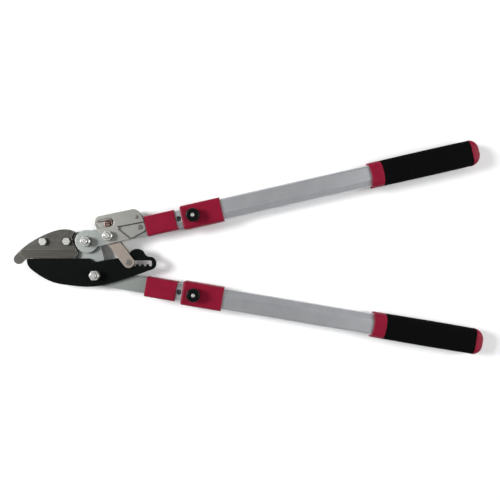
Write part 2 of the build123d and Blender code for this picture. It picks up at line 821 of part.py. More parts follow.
for side, handle, inward in (("upper", upper_handle, -1), ("lower", lower_handle, 1)):
    # Sleeve: a moulded socket over the front of the inner tube, slotted for the tang
    sleeve_width = inner_width + 2 * sleeve_side_wall
    sleeve_height = inner_height + 2 * sleeve_side_wall
    body = soft_section(section(handle, 0), sleeve_width, sleeve_height, sleeve_corner_radius)
    bore = tube_section(section(handle, sleeve_front_wall), inward, tube_step)
    with BuildPart() as sleeve:
        extrude(body, amount=sleeve_length)
        ends = sleeve.faces().sort_by(Axis(handle.origin, handle.x_dir))
        fillet(ends[0].edges() + ends[-1].edges(), 1.0)
        extrude(bore, amount=sleeve_length, mode=Mode.SUBTRACT)
        tang_low, tang_high = tang_sides[inward]
        with BuildSketch(station_level(handle, 0, tang_bottoms[side])):
            with Locations((0, (tang_low + tang_high) / 2)):
                Rectangle(4 * sleeve_front_wall, tang_high - tang_low)
        extrude(amount=tang_tops[side] - tang_bottoms[side], mode=Mode.SUBTRACT)
    save(sleeve, f"{side}_sleeve")

    # Packer: fills the inner tube beside the tang
    low, high = packer_spans[side]
    with BuildPart() as tang_packer:
        with BuildSketch(station_level(handle, sleeve_front_wall, low)):
            with Locations((0, (tang_low + tang_high) / 2)):
                Rectangle(
                    tang_length - sleeve_front_wall,
                    tang_high - tang_low - 2,
                    align=(Align.MIN, Align.CENTER),
                )
        extrude(amount=high - low)
        with Locations(*[station_level(handle, s, high) for s in tang_rivet_stations]):
            Hole(tang_rivet_radius)
    save(tang_packer, f"{side}_tang_packer")

    # Rivets: through the inner tube, the tang and the packer
    with BuildPart() as tang_rivets:
        for station in tang_rivet_stations:
            with BuildSketch(station_level(handle, station, mid_z - inner_height / 2)):
                Circle(tang_rivet_radius)
            extrude(amount=inner_height)
    save(tang_rivets, f"{side}_tang_rivets")

    # Inner tube, with its row of lock holes along the top
    inner_tube = tube(handle, inward, sleeve_front_wall, inner_tube_end, tube_step)
    with inner_tube:
        with Locations(*[station_level(handle, s, inner_top) for s in hole_stations]):
            Hole(lock_hole_radius, depth=2 * tube_wall)
        with Locations(*[station_level(handle, s, inner_top) for s in tang_rivet_stations]):
            Hole(tang_rivet_radius)
    save(inner_tube, f"{side}_inner_tube")

    # Bush: a plastic collar on the inner tube's rear end that guides it in the outer tube
    bush_plane = section(handle, inner_tube_end - bush_length)
    collar = tube_section(bush_plane, inward, tube_wall + slide_clearance)
    bore = tube_section(bush_plane, inward, tube_step)
    with BuildPart() as tube_bush:
        extrude(collar, amount=bush_length)
        extrude(bore, amount=bush_length, mode=Mode.SUBTRACT)
    save(tube_bush, f"{side}_tube_bush")

    # Outer tube, with the hole for the lock pin and the pilot holes for the clamp's screws
    outer_tube = tube(handle, inward, outer_tube_start, grip_end, 0)
    with outer_tube:
        with Locations(station_level(handle, lock_station, tube_top)):
            Hole(lock_pin_radius + slide_clearance, depth=2 * tube_wall)
        with Locations(*[station_level(handle, s, mid_z) for s in clamp_screw_stations]):
            Hole(clamp_screw_radius, depth=tube_height)
    save(outer_tube, f"{side}_outer_tube")

    # Clamp: moulded block over the outer tube's front end, with the lock's boss on top
    block = soft_section(section(handle, clamp_start), clamp_width, clamp_height, soft_corner / 2)
    front_bore = tube_section(section(handle, clamp_start), inward, tube_step - slide_clearance)
    rear_bore = tube_section(section(handle, outer_tube_start), inward, 0)
    with BuildPart() as clamp:
        extrude(block, amount=clamp_length)
        ends = clamp.faces().sort_by(Axis(handle.origin, handle.x_dir))
        fillet(ends[0].edges(), 3.0)
        ends = clamp.faces().sort_by(Axis(handle.origin, handle.x_dir))
        fillet(ends[-1].edges(), 1.2)
        with BuildSketch(station_level(handle, lock_station, mid_z)):
            Circle(lock_boss_radius)
        extrude(amount=clamp_top + lock_boss_height - mid_z)
        extrude(front_bore, amount=clamp_front_wall, mode=Mode.SUBTRACT)
        extrude(rear_bore, amount=clamp_length, mode=Mode.SUBTRACT)
        with Locations(station_level(handle, lock_station, clamp_top + lock_boss_height)):
            Hole(stem_radius + stem_clearance, depth=lock_boss_height)
        with Locations(
            station_level(handle, lock_station, clamp_top + lock_boss_height - lock_boss_roof)
        ):
            Hole(lock_bore_radius, depth=clamp_top + lock_boss_height - tube_top)
        for station in clamp_screw_stations:
            with BuildSketch(station_level(handle, station, mid_z - clamp_height / 2)):
                Circle(clamp_screw_radius)
            extrude(amount=clamp_height / 2, mode=Mode.SUBTRACT)
            with BuildSketch(station_level(handle, station, mid_z - clamp_height / 2)):
                Circle(clamp_screw_head_radius)
            extrude(amount=clamp_screw_head_height, mode=Mode.SUBTRACT)
    save(clamp, f"{side}_clamp")

    # Screws that hold the clamp to the outer tube, from below
    with BuildPart() as clamp_screws:
        for station in clamp_screw_stations:
            with BuildSketch(station_level(handle, station, mid_z - clamp_height / 2)):
                Circle(clamp_screw_head_radius)
            extrude(amount=clamp_screw_head_height)
            with BuildSketch(station_level(handle, station, mid_z - clamp_height / 2)):
                Circle(clamp_screw_radius)
            extrude(amount=(clamp_height - tube_height) / 2 + tube_wall)
    save(clamp_screws, f"{side}_clamp_screws")

    # Lock pin, drawn at the top of its travel: tip, collar, stem and the turned end in the knob
    tip_bottom = inner_top + slide_clearance + stem_clearance
    collar_bottom = tube_top + lock_travel + stem_clearance
    collar_top = collar_bottom + collar_thickness
    knob_bottom = clamp_top + lock_travel + slide_clearance
    knob_ceiling = clamp_top + lock_boss_height + lock_travel + slide_clearance
    knob_top = knob_ceiling + knob_roof
    with BuildPart() as lock_pin:
        for low, high, radius in (
            (tip_bottom, collar_bottom, lock_pin_radius),
            (collar_bottom, collar_top, collar_radius),
            (collar_top, knob_top + stem_proud, stem_radius),
        ):
            with BuildSketch(station_level(handle, lock_station, low)):
                Circle(radius)
            extrude(amount=high - low)
        chamfer(lock_pin.edges().filter_by(GeomType.CIRCLE).group_by(Axis.Z)[0], 0.8)
        chamfer(lock_pin.edges().filter_by(GeomType.CIRCLE).group_by(Axis.Z)[-1], 0.5)
    save(lock_pin, f"{side}_lock_pin")

    # Lock knob: a cup over the clamp's boss, fixed to the pin's end
    with BuildPart() as lock_knob:
        with BuildSketch(station_level(handle, lock_station, knob_bottom)):
            Circle(knob_radius)
        extrude(amount=knob_top - knob_bottom)
        fillet(lock_knob.edges().filter_by(GeomType.CIRCLE).group_by(Axis.Z)[-1], knob_edge)
        with BuildSketch(station_level(handle, lock_station, knob_bottom)):
            Circle(lock_boss_radius + slide_clearance)
        extrude(amount=knob_ceiling - knob_bottom, mode=Mode.SUBTRACT)
        with BuildSketch(station_level(handle, lock_station, knob_bottom)):
            Circle(stem_radius)
        extrude(amount=knob_top - knob_bottom, mode=Mode.SUBTRACT)
        with BuildSketch(station_level(handle, lock_station, knob_bottom)):
            with PolarLocations(knob_radius + knob_flute_radius - knob_flute_depth, knob_flute_count):
                Circle(knob_flute_radius)
        extrude(amount=knob_top - knob_bottom, mode=Mode.SUBTRACT)
    save(lock_knob, f"{side}_lock_knob")

    # Lock spring: between the pin's collar and the roof of the boss
    coil_clearance = lock_coil_end_room * lock_wire_radius
    coil_height = clamp_top + lock_boss_height - lock_boss_roof - collar_top - 2 * coil_clearance
    with BuildPart() as spring_coil:
        with BuildLine() as wire:
            turns = Helix(coil_height / lock_coil_turns, coil_height, lock_coil_radius)
        with BuildSketch(Plane(origin=turns @ 0, z_dir=turns % 0)):
            Circle(lock_wire_radius)
        sweep(path=wire.wire())
    with BuildPart() as lock_spring:
        with Locations(station_level(handle, lock_station, collar_top + coil_clearance)):
            add(spring_coil.part)
    save(lock_spring, f"{side}_lock_spring")

    # Grip ring: a collar in front of the grip, with a hollowed front edge and a bulging rear one
    collar = soft_section(section(handle, ring_start), ring_width, grip_height - 0.4, soft_corner)
    bore = tube_section(section(handle, ring_start), inward, 0)
    with BuildSketch(station_level(handle, ring_end, 0)) as bulge:
        with BuildLine():
            ThreePointArc((0, -grip_width / 2), (ring_bulge, 0), (0, grip_width / 2))
            Line((0, grip_width / 2), (0, -grip_width / 2))
        make_face()
    with BuildPart() as grip_ring:
        extrude(collar, amount=ring_length)
        with BuildPart(mode=Mode.PRIVATE) as bulged:
            extrude(bulge.sketch, amount=grip_height)
            extrude(collar, amount=ring_length + ring_bulge, mode=Mode.INTERSECT)
        add(bulged.part)
        with BuildSketch(station_level(handle, ring_start, 0)):
            with BuildLine():
                ThreePointArc((-1, -ring_width / 2), (ring_scallop, 0), (-1, ring_width / 2))
                Line((-1, ring_width / 2), (-1, -ring_width / 2))
            make_face()
        extrude(amount=grip_height, mode=Mode.SUBTRACT)
        extrude(bore, amount=ring_length + ring_bulge, mode=Mode.SUBTRACT)
    save(grip_ring, f"{side}_grip_ring")

    # Grip: soft sleeve with a flat underside
    body = soft_section(section(handle, ring_end), grip_width, grip_height, soft_corner)
    bore = tube_section(section(handle, ring_end), inward, 0)
    with BuildPart() as grip:
        extrude(body, amount=grip_length)
        extrude(bulge.sketch, amount=grip_height, mode=Mode.SUBTRACT)
        extrude(bore, amount=grip_length, mode=Mode.SUBTRACT)
    save(grip, f"{side}_grip")

    # End cap: domed plug with a spigot inside the outer tube
    rings = []
    for share in cap_stations:
        narrowing = (1 - share**2) ** 0.5
        lowering = (1 - share**3) ** (1 / 3)
        rings.append(
            soft_section(
                section(handle, grip_end + share * cap_length),
                grip_width * narrowing,
                grip_height * lowering,
                soft_corner * narrowing,
            )
        )
    spigot = tube_section(section(handle, grip_end - cap_spigot), inward, tube_wall)
    with BuildPart() as end_cap:
        loft(rings)
        extrude(spigot, amount=cap_spigot)
    save(end_cap, f"{side}_end_cap")
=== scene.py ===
import json
from math import atan2, cos, pi, radians, sin

import bmesh
import bpy
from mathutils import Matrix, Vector, noise


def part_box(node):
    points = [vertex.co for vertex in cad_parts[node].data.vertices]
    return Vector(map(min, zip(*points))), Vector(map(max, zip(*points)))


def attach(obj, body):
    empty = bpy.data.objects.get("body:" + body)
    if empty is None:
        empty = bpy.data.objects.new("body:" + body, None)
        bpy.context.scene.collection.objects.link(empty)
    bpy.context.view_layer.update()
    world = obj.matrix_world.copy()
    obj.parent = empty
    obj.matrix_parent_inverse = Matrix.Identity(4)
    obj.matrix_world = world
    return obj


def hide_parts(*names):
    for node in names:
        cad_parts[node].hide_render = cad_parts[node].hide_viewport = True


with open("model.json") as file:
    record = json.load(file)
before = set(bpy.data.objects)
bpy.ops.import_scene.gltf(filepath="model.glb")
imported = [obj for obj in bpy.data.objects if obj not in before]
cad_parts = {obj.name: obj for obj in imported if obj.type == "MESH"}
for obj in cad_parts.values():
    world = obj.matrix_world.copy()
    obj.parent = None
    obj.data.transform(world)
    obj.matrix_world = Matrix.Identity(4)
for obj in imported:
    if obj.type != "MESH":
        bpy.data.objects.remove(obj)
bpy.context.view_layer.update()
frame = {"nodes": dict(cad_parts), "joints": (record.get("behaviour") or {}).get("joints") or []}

# ---- Frame plate and lever bar
# The two bars that carry the jaws. Each is a 5 mm steel plate, blanked out, tumbled with grit to take the
# burrs off, and zinc plated without polishing, so it stays a satin grey with a fine pitted grain.
MM = 0.001


def linear(code):
    """The linear colour of an sRGB hex code."""
    channels = [int(code[i : i + 2], 16) / 255 for i in (0, 2, 4)]
    return (*[c / 12.92 if c <= 0.04045 else ((c + 0.055) / 1.055) ** 2.4 for c in channels], 1.0)


def add(tree, kind, inputs, **settings):
    """Add one shader node with its settings; each input is linked to a socket or set to a value."""
    made = tree.nodes.new("ShaderNode" + kind)
    for name, value in settings.items():
        setattr(made, name, value)
    for name, value in inputs.items():
        if isinstance(value, bpy.types.NodeSocket):
            tree.links.new(value, made.inputs[name])
        else:
            made.inputs[name].default_value = value
    return made


def new_finish(name, metallic, roughness):
    """A named material with its tree, its shader and the place of each point in metres."""
    finish = bpy.data.materials.new(name)
    finish.use_nodes = True
    tree = finish.node_tree
    shader = tree.nodes["Principled BSDF"]
    shader.inputs["Metallic"].default_value = metallic
    shader.inputs["Roughness"].default_value = roughness
    place = add(tree, "TexCoord", {}).outputs["Object"]
    return finish, tree, shader, place


def rubbed_edges(tree, radius):
    """A normal that rounds every edge by a radius, and a mask of the edges that hands and work rub."""
    soft = add(tree, "Bevel", {"Radius": radius}, samples=6).outputs["Normal"]
    flat = add(tree, "NewGeometry", {}).outputs["Normal"]
    facing = add(tree, "VectorMath", {0: soft, 1: flat}, operation="DOT_PRODUCT").outputs["Value"]
    mask = add(tree, "MapRange", {"Value": facing, "From Min": 0.985, "From Max": 0.86})
    return soft, mask.outputs["Result"]


def crevices(tree, reach):
    """A mask, 0 to 1, of the narrow places within a distance that little light reaches, for painted shade."""
    open_sky = add(tree, "AmbientOcclusion", {"Distance": reach}, samples=6).outputs["AO"]
    return add(tree, "MapRange", {"Value": open_sky, "From Min": 0.85, "From Max": 0.25}).outputs["Result"]


def blasted_steel(name, light, dark, painted_shade_colour, patch, grit):
    """Steel with a blasted or tumbled skin under thin plating: dull patches, fine pits, and painted shade in
    its crevices.
    """
    finish, tree, shader, place = new_finish(name, 1.0, 0.45)
    patches = add(tree, "TexNoise", {"Vector": place, "Scale": 1 / patch, "Detail": 5, "Roughness": 0.6})
    pits = add(tree, "TexNoise", {"Vector": place, "Scale": 1 / grit, "Detail": 3, "Roughness": 0.65})
    speckle = add(
        tree, "MapRange", {"Value": pits.outputs["Fac"], "From Min": 0.35, "From Max": 0.65}
    ).outputs["Result"]
    tone = add(
        tree,
        "MixRGB",
        {"Fac": patches.outputs["Fac"], "Color1": linear(dark), "Color2": linear(light)},
    )
    pitted = add(
        tree, "MixRGB", {"Fac": 0.16, "Color1": tone.outputs["Color"], "Color2": speckle}, blend_type="OVERLAY"
    )
    soft, edge = rubbed_edges(tree, 0.5 * MM)
    bright = add(
        tree, "MixRGB", {"Fac": edge, "Color1": pitted.outputs["Color"], "Color2": linear("F2F2EE")}
    )
    # Painted shade: crevices and the feet of parts that stand on the plate are darkened towards the third
    # colour.
    painted_shade = crevices(tree, 2.5 * MM)
    with_painted_shade = add(
        tree, "MixRGB", {"Fac": painted_shade, "Color1": bright.outputs["Color"], "Color2": linear(painted_shade_colour)}
    )
    tree.links.new(with_painted_shade.outputs["Color"], shader.inputs["Base Color"])
    dull = add(tree, "MapRange", {"Value": patches.outputs["Fac"], "To Min": 0.52, "To Max": 0.36})
    tree.links.new(dull.outputs["Result"], shader.inputs["Roughness"])
    bump = add(
        tree, "Bump", {"Strength": 0.5, "Distance": 0.05 * MM, "Height": pits.outputs["Fac"], "Normal": soft}
    )
    tree.links.new(bump.outputs["Normal"], shader.inputs["Normal"])
    return finish


def dress(finish, *nodes):
    """Give CAD nodes a finish in place of their plain one."""
    for node in nodes:
        for place in frame["nodes"][node].material_slots:
            place.material = finish


# Tumbled zinc-plated steel: satin light grey with a hint of green, pits about half a millimetre across.
bar_steel = blasted_steel("tumbled_zinc_plated_steel", "B2B7B3", "979C99", "3E403E", 7 * MM, 0.55 * MM)
dress(bar_steel, "frame_plate", "lever_bar")

# ---- Anvil
# The hooked plate that the blade closes on. It is hardened tool steel, left dark from the furnace, with a
# raised strip along its edge that is surface ground lengthways so the blade meets it squarely.
strip_face_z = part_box("anvil")[1].z - 0.3 * MM
scale_patch = 5 * MM
scale_grit = 0.6 * MM
# A grinding wheel's lines are about 0.05 mm apart: they are drawn 0.35 mm apart here, to show.
grind_pitch = 0.35 * MM
grind_length = 60 * MM

# Furnace-dark tool steel: brown-grey scale, dull and grainy, with bright lines where the wheel has been.
anvil_finish, tree, shader, place = new_finish("furnace_dark_tool_steel", 1.0, 0.5)
scale = add(tree, "TexNoise", {"Vector": place, "Scale": 1 / scale_patch, "Detail": 5, "Roughness": 0.65})
grain = add(tree, "TexNoise", {"Vector": place, "Scale": 1 / scale_grit, "Detail": 3, "Roughness": 0.7})
scaled = add(
    tree,
    "MixRGB",
    {"Fac": scale.outputs["Fac"], "Color1": linear("393836"), "Color2": linear("62605C")},
)
grainy = add(
    tree,
    "MixRGB",
    {"Fac": 0.3, "Color1": scaled.outputs["Color"], "Color2": grain.outputs["Fac"]},
    blend_type="OVERLAY",
)
lines_place = add(
    tree,
    "Mapping",
    {"Vector": place, "Scale": (grind_length, grind_pitch, grind_pitch)},
    vector_type="TEXTURE",
)
lines = add(tree, "TexNoise", {"Vector": lines_place.outputs["Vector"], "Scale": 1.0, "Detail": 3})
line_mask = add(
    tree, "MapRange", {"Value": lines.outputs["Fac"], "From Min": 0.35, "From Max": 0.65}
).outputs["Result"]
ground = add(
    tree, "MixRGB", {"Fac": line_mask, "Color1": linear("383734"), "Color2": linear("595751")}
)
height = add(tree, "SeparateXYZ", {"Vector": place}).outputs["Z"]
on_strip = add(tree, "Math", {0: height, 1: strip_face_z}, operation="GREATER_THAN").outputs["Value"]
both = add(
    tree,
    "MixRGB",
    {"Fac": on_strip, "Color1": grainy.outputs["Color"], "Color2": ground.outputs["Color"]},
)
soft, edge = rubbed_edges(tree, 0.5 * MM)
rubbed = add(tree, "MixRGB", {"Fac": edge, "Color1": both.outputs["Color"], "Color2": linear("C3C6C0")})
# Painted shade: the crevices round the bolt heads and at the foot of each step are darkened towards 1C1B19.
painted_shade = crevices(tree, 2.5 * MM)
anvil_with_painted_shade = add(tree, "MixRGB", {"Fac": painted_shade, "Color1": rubbed.outputs["Color"], "Color2": linear("1C1B19")})
tree.links.new(anvil_with_painted_shade.outputs["Color"], shader.inputs["Base Color"])
relief = add(
    tree,
    "MixRGB",
    {"Fac": on_strip, "Color1": grain.outputs["Fac"], "Color2": lines.outputs["Fac"]},
)
bump = add(
    tree,
    "Bump",
    {"Strength": 0.6, "Distance": 0.05 * MM, "Height": relief.outputs["Color"], "Normal": soft},
)
tree.links.new(bump.outputs["Normal"], shader.inputs["Normal"])
dress(anvil_finish, "anvil")

# ---- Pivots and fasteners
# Two M8 pivot bolts stand on the frame plate and a third joins the cheeks, links and lever; two M6 bolts hold
# the anvil. All are cold headed, thread rolled and bright zinc plated; their bushes are turned steel.


def zinc_plate(name, light, dark):
    """Bright zinc over cold-formed steel: smooth and shiny, with faint tool and handling marks."""
    finish, tree, shader, place = new_finish(name, 0.75, 0.3)
    mark_size = (4 * MM, 0.3 * MM, 1 * MM)
    marks_place = add(
        tree,
        "Mapping",
        {"Vector": place, "Scale": mark_size, "Rotation": (0, 0, radians(35))},
        vector_type="TEXTURE",
    )
    marks = add(tree, "TexNoise", {"Vector": marks_place.outputs["Vector"], "Scale": 1.0, "Detail": 3})
    tone = add(
        tree, "MixRGB", {"Fac": marks.outputs["Fac"], "Color1": linear(dark), "Color2": linear(light)}
    )
    # Painted shade: within 6 mm of other parts, such as at the foot of each head and on a nut's sides, the
    # colour goes dark.
    painted_shade = crevices(tree, 6.0 * MM)
    with_painted_shade = add(tree, "MixRGB", {"Fac": painted_shade, "Color1": tone.outputs["Color"], "Color2": linear("1C1C1B")})
    tree.links.new(with_painted_shade.outputs["Color"], shader.inputs["Base Color"])
    shine = add(tree, "MapRange", {"Value": marks.outputs["Fac"], "To Min": 0.2, "To Max": 0.36})
    tree.links.new(shine.outputs["Result"], shader.inputs["Roughness"])
    soft, _ = rubbed_edges(tree, 0.35 * MM)
    bump = add(
        tree, "Bump", {"Strength": 0.3, "Distance": 0.02 * MM, "Height": marks.outputs["Fac"], "Normal": soft}
    )
    tree.links.new(bump.outputs["Normal"], shader.inputs["Normal"])
    return finish


# Bright zinc plate: near white where it faces the light, with painted shade at the foot of each head.
zinc = zinc_plate("bright_zinc_plate", "F2F2EE", "D2D2CD")
dress(zinc, "anvil_bolts", "anvil_nuts", "cheek_spacer")
dress(zinc, "blade_pivot_bolt", "lever_pivot_bolt", "link_pivot_bolt")
dress(zinc, "blade_pivot_nut", "lever_pivot_nut", "link_pivot_nut")
# Turned steel, oiled: darker than the plated pieces beside it, and brown where the oil has dried.
turned = zinc_plate("turned_oiled_steel", "A3A09B", "75736F")
dress(turned, "blade_pivot_bush", "lever_pivot_bush", "link_bush")
# The washers' dark tone is partly painted shade: it stands for the shade ring round each nut.
dress(turned, "blade_pivot_washers", "lever_pivot_washers", "cheek_rivets", "link_pin")

# ---- Blade
# A forged blade with a curved back and a tail slot that has ratchet notches along its floor. It is sprayed
# and baked with a black low-friction coating, which rubs through to steel along the cutting edge.

peel_size = 0.9 * MM
cloud_size = 14 * MM
scuff_size = (9 * MM, 0.35 * MM, 2 * MM)
scuff_slant = radians(-8)

# Black fluoropolymer coating: a nearly flat black with the faint orange peel of a sprayed film.
coating, tree, shader, place = new_finish("black_low_friction_coating", 0.0, 0.55)
shader.inputs["IOR"].default_value = 1.38
shader.inputs["Specular IOR Level"].default_value = 0.04
peel = add(tree, "TexNoise", {"Vector": place, "Scale": 1 / peel_size, "Detail": 2, "Roughness": 0.5})
cloud = add(tree, "TexNoise", {"Vector": place, "Scale": 1 / cloud_size, "Detail": 4, "Roughness": 0.6})
black = add(
    tree,
    "MixRGB",
    {"Fac": cloud.outputs["Fac"], "Color1": linear("080A09"), "Color2": linear("0E1110")},
)
scuff_place = add(
    tree,
    "Mapping",
    {"Vector": place, "Scale": scuff_size, "Rotation": (0, 0, scuff_slant)},
    vector_type="TEXTURE",
)
scuffs = add(tree, "TexNoise", {"Vector": scuff_place.outputs["Vector"], "Scale": 1.0, "Detail": 2})
scuff_mask = add(
    tree, "MapRange", {"Value": scuffs.outputs["Fac"], "From Min": 0.66, "From Max": 0.8, "To Max": 0.5}
)
scuffed = add(
    tree,
    "MixRGB",
    {"Fac": scuff_mask.outputs["Result"], "Color1": black.outputs["Color"], "Color2": linear("2A2D2D")},
)
soft, edge = rubbed_edges(tree, 0.6 * MM)
thin_spots = add(tree, "Math", {0: edge, 1: cloud.outputs["Fac"]}, operation="MULTIPLY").outputs["Value"]
worn = add(
    tree, "MixRGB", {"Fac": thin_spots, "Color1": scuffed.outputs["Color"], "Color2": linear("4A4C4B")}
)
tree.links.new(worn.outputs["Color"], shader.inputs["Base Color"])
shine = add(tree, "MapRange", {"Value": cloud.outputs["Fac"], "To Min": 0.48, "To Max": 0.64})
tree.links.new(shine.outputs["Result"], shader.inputs["Roughness"])
bump = add(
    tree, "Bump", {"Strength": 0.35, "Distance": 0.03 * MM, "Height": peel.outputs["Fac"], "Normal": soft}
)
tree.links.new(bump.outputs["Normal"], shader.inputs["Normal"])
dress(coating, "blade")

# ---- Cheeks and links
# Two pressed cheeks stand off the lever on a lanced tab, and two flat links hang between them down to the pin
# in the blade's slot. All are blanked from 2.5 mm sheet; the links are passivated a little pink.

# Zinc-plated sheet steel: warmer and smoother than the bars, from a finer tumbling.
cheek_steel = blasted_steel("zinc_plated_sheet_steel", "B8B7B2", "A09F9A", "443F3B", 9 * MM, 0.4 * MM)
dress(cheek_steel, "cheek_front", "cheek_rear")
# Passivated sheet steel: the passivation leaves a pinkish, slightly patchy film.
link_steel = blasted_steel("passivated_sheet_steel", "BBAFA5", "A0958B", "3E3633", 6 * MM, 0.45 * MM)
dress(link_steel, "link_front", "link_rear")

# ---- Ratchet spring and its post
# A torsion spring of hard-drawn wire, washed with copper before drawing, coiled round a slotted post. Its two
# legs swing the links forward so the pin drops into the next notch.

wash_patch = 3 * MM
draw_mark_pitch = 0.3 * MM

# Copper-washed spring wire: dull metal, coppery pink where the wash is left and brown where it has gone.
wire_finish, tree, shader, place = new_finish("copper_washed_spring_wire", 1.0, 0.38)
wash = add(tree, "TexNoise", {"Vector": place, "Scale": 1 / wash_patch, "Detail": 4, "Roughness": 0.6})
copper = add(
    tree,
    "MixRGB",
    {"Fac": wash.outputs["Fac"], "Color1": linear("7A6059"), "Color2": linear("BBA39A")},
)
# Painted shade: the narrow gaps between the turns and round the post are darkened towards 2A1E1B.
painted_shade = crevices(tree, 1.5 * MM)
tone_with_painted_shade = add(tree, "MixRGB", {"Fac": painted_shade, "Color1": copper.outputs["Color"], "Color2": linear("2A1E1B")})
tree.links.new(tone_with_painted_shade.outputs["Color"], shader.inputs["Base Color"])
draw_marks = add(tree, "TexNoise", {"Vector": place, "Scale": 1 / draw_mark_pitch, "Detail": 2})
bump = add(
    tree, "Bump", {"Strength": 0.3, "Distance": 0.02 * MM, "Height": draw_marks.outputs["Fac"]}
)
tree.links.new(bump.outputs["Normal"], shader.inputs["Normal"])
dress(wire_finish, "ratchet_spring", "spring_post")
dress(turned, "upper_lock_spring", "lower_lock_spring")

# ---- Handle tubes
# Four extruded aluminium tubes, flat topped with one sloping flank: an inner one in each sleeve and an outer
# one that slides over it. They are satin etched and clear anodised, and keep the die's lines along them.
SIDES = ("upper", "lower")
slides = {joint["name"]: joint for joint in frame["joints"]}
along = {}
for side in SIDES:
    slide = Vector(slides[f"{side}_handle_slide"]["axis"]).normalized()
    along[side] = slide if slide.x > 0 else -slide
# Die lines are as fine as 0.1 mm: they are drawn 0.5 mm apart, to show.
die_line_size = (150 * MM, 0.5 * MM, 0.5 * MM)
etch_grain = 0.5 * MM
stain_size = 18 * MM

for side in SIDES:
    # Clear anodised aluminium: satin, cool grey, with faint lines the length of the tube from the die.
    tube_finish, tree, shader, place = new_finish(f"clear_anodised_aluminium_{side}", 1.0, 0.4)
    turn = atan2(along[side].y, along[side].x)
    die_place = add(
        tree,
        "Mapping",
        {"Vector": place, "Scale": die_line_size, "Rotation": (0, 0, turn)},
        vector_type="TEXTURE",
    )
    die_lines = add(tree, "TexNoise", {"Vector": die_place.outputs["Vector"], "Scale": 1.0, "Detail": 4})
    etch = add(tree, "TexNoise", {"Vector": place, "Scale": 1 / etch_grain, "Detail": 3})
    stain = add(tree, "TexNoise", {"Vector": place, "Scale": 1 / stain_size, "Detail": 4})
    base = add(
        tree,
        "MixRGB",
        {"Fac": stain.outputs["Fac"], "Color1": linear("C4C5C8"), "Color2": linear("D6D7D9")},
    )
    lined = add(
        tree,
        "MixRGB",
        {"Fac": 0.14, "Color1": base.outputs["Color"], "Color2": die_lines.outputs["Fac"]},
        blend_type="OVERLAY",
    )
    frosted = add(
        tree,
        "MixRGB",
        {"Fac": 0.12, "Color1": lined.outputs["Color"], "Color2": etch.outputs["Fac"]},
        blend_type="OVERLAY",
    )
    soft, _ = rubbed_edges(tree, 0.5 * MM)
    tree.links.new(frosted.outputs["Color"], shader.inputs["Base Color"])
    satin = add(tree, "MapRange", {"Value": die_lines.outputs["Fac"], "To Min": 0.36, "To Max": 0.5})
    tree.links.new(satin.outputs["Result"], shader.inputs["Roughness"])
    die_bump = add(
        tree,
        "Bump",
        {"Strength": 0.25, "Distance": 0.03 * MM, "Height": die_lines.outputs["Fac"], "Normal": soft},
    )
    bump = add(
        tree,
        "Bump",
        {
            "Strength": 0.2,
            "Distance": 0.02 * MM,
            "Height": etch.outputs["Fac"],
            "Normal": die_bump.outputs["Normal"],
        },
    )
    tree.links.new(bump.outputs["Normal"], shader.inputs["Normal"])
    dress(tube_finish, f"{side}_inner_tube", f"{side}_outer_tube")

# ---- Sleeves and clamps
# The sleeve sockets the front of each inner tube over the bar's tang; the clamp is fixed to the outer tube's
# front end and carries the lock. Both are injection moulded in crimson glass-filled nylon.
tube_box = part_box("upper_outer_tube")
parting_z = (tube_box[0].z + tube_box[1].z) / 2


def moulded(name, deep, light, scuffed, roughness, texture, tone_reach):
    """Injection-moulded plastic: spark-textured skin, a fine parting line, edges polished paler, painted shade
    in its crevices.
    """
    finish, tree, shader, place = new_finish(name, 0.0, roughness)
    shader.inputs["IOR"].default_value = 1.52
    shader.inputs["Specular IOR Level"].default_value = 0.13
    skin = add(tree, "TexNoise", {"Vector": place, "Scale": 1 / texture, "Detail": 2, "Roughness": 0.6})
    flow = add(tree, "TexNoise", {"Vector": place, "Scale": 1 / tone_reach, "Detail": 4})
    tone = add(
        tree, "MixRGB", {"Fac": flow.outputs["Fac"], "Color1": linear(deep), "Color2": linear(light)}
    )
    soft, edge = rubbed_edges(tree, 0.7 * MM)
    rub = add(tree, "Math", {0: edge, 1: 0.45}, operation="MULTIPLY").outputs["Value"]
    paler = add(tree, "MixRGB", {"Fac": rub, "Color1": tone.outputs["Color"], "Color2": linear(scuffed)})
    # Painted shade: narrow places, such as round the knob and where parts meet, are darkened towards 14060A.
    painted_shade = crevices(tree, 2.5 * MM)
    tone_with_painted_shade = add(
        tree, "MixRGB", {"Fac": painted_shade, "Color1": paler.outputs["Color"], "Color2": linear("14060A")}
    )
    tree.links.new(tone_with_painted_shade.outputs["Color"], shader.inputs["Base Color"])
    matt = add(
        tree,
        "MapRange",
        {"Value": skin.outputs["Fac"], "To Min": roughness - 0.06, "To Max": roughness + 0.1},
    )
    tree.links.new(matt.outputs["Result"], shader.inputs["Roughness"])
    height = add(tree, "SeparateXYZ", {"Vector": place}).outputs["Z"]
    above = add(tree, "Math", {0: height, 1: parting_z}, operation="SUBTRACT").outputs["Value"]
    apart = add(tree, "Math", {0: above}, operation="ABSOLUTE").outputs["Value"]
    flash = add(tree, "MapRange", {"Value": apart, "From Min": 0.2 * MM, "From Max": 0.05 * MM})
    seam = add(
        tree,
        "Bump",
        {"Strength": 0.6, "Distance": 0.08 * MM, "Height": flash.outputs["Result"], "Normal": soft},
    )
    bump = add(
        tree,
        "Bump",
        {
            "Strength": 0.3,
            "Distance": 0.04 * MM,
            "Height": skin.outputs["Fac"],
            "Normal": seam.outputs["Normal"],
        },
    )
    tree.links.new(bump.outputs["Normal"], shader.inputs["Normal"])
    return finish


